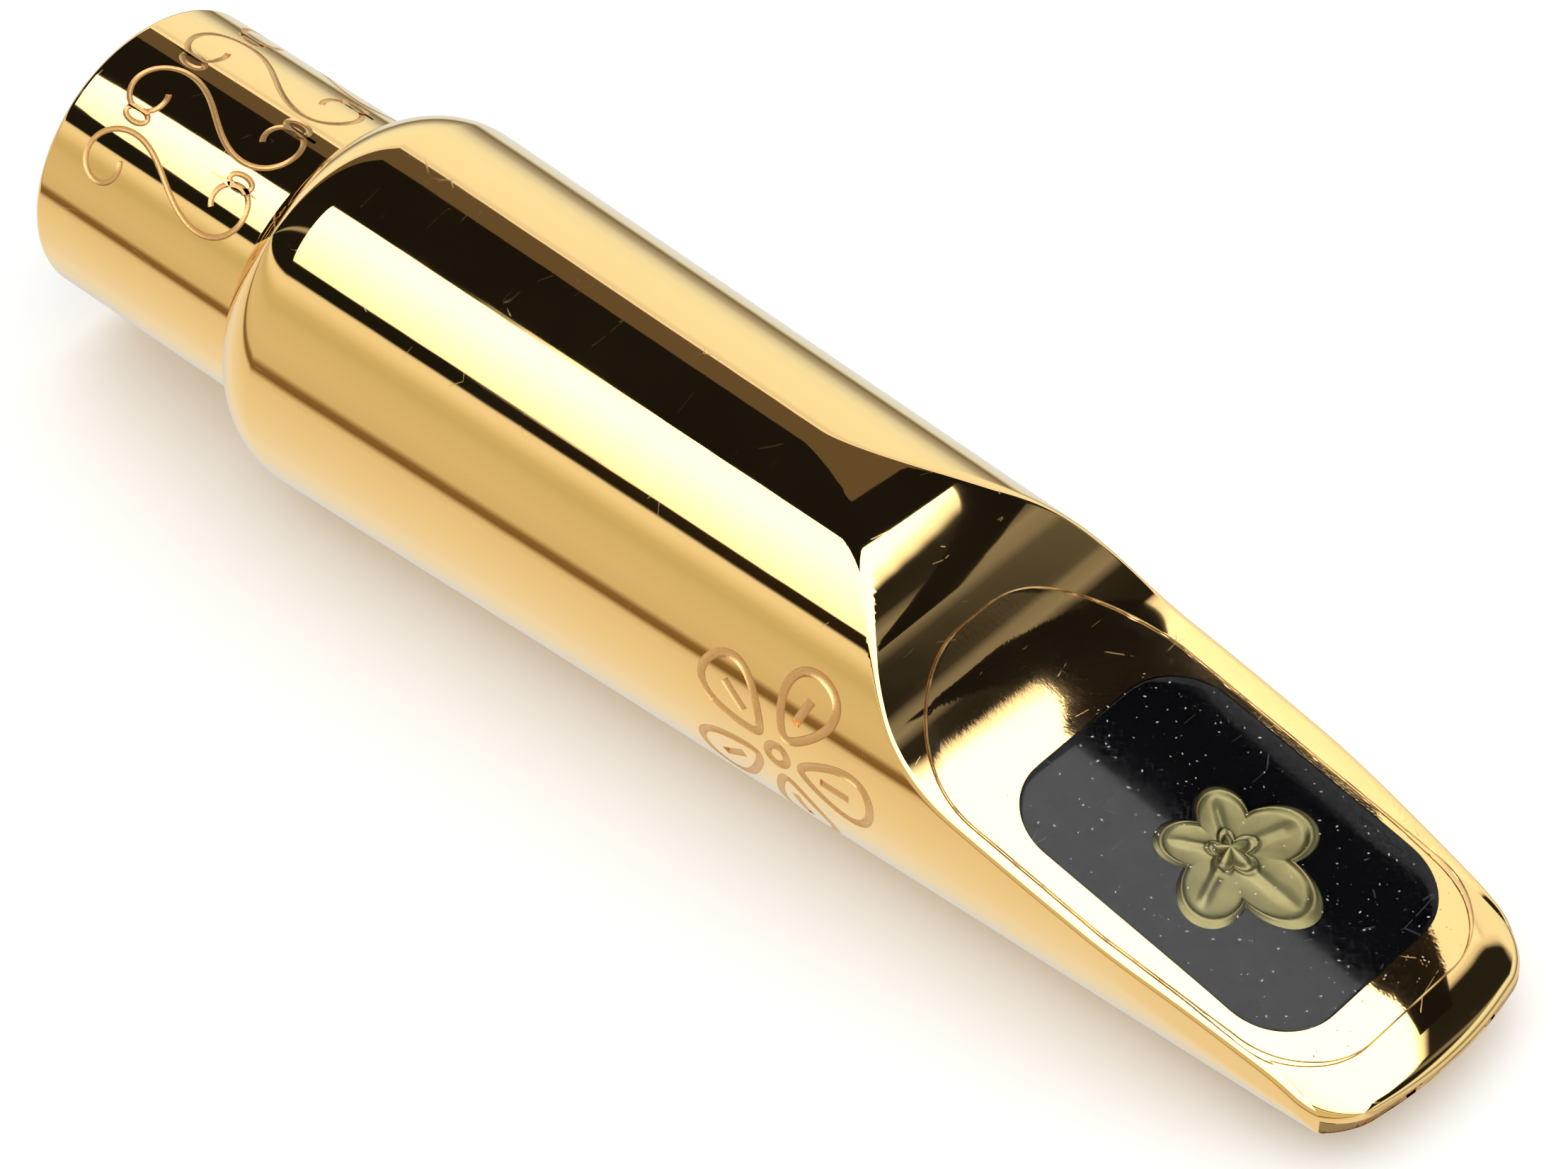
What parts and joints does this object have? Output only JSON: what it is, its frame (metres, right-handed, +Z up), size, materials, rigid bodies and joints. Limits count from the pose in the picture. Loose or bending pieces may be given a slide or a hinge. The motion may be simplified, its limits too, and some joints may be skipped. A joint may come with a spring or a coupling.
{
  "type": "saxophone mouthpiece",
  "caption": "Tenor saxophone mouthpiece: tapered plated-metal barrel with a bored shank, a windowed reed table, and a sloping beak that carries an inlaid bite plate under clear film.",
  "frame": {"origin": "on the plane of the reed table, under the middle of the bounding box", "axes": "+X runs along the reed table from the shank towards the tip, +Z points up from the table through the bite plate, and the part lies on its reed table"},
  "size_m": [0.0941, 0.0228, 0.0207],
  "materials": {
    "gold_plated_brass": "mirror-polished gold plate",
    "black_resin": "gloss black resin, flush with the beak",
    "pale_brass": "stamped, satin",
    "clear_film": "thin clear self-adhesive film"
  },
  "bodies": {
    "root": {"mouthpiece_body": "gold_plated_brass", "bite_plate": "black_resin", "badge": "pale_brass", "protective_film": "clear_film"}
  },
  "joints": []
}
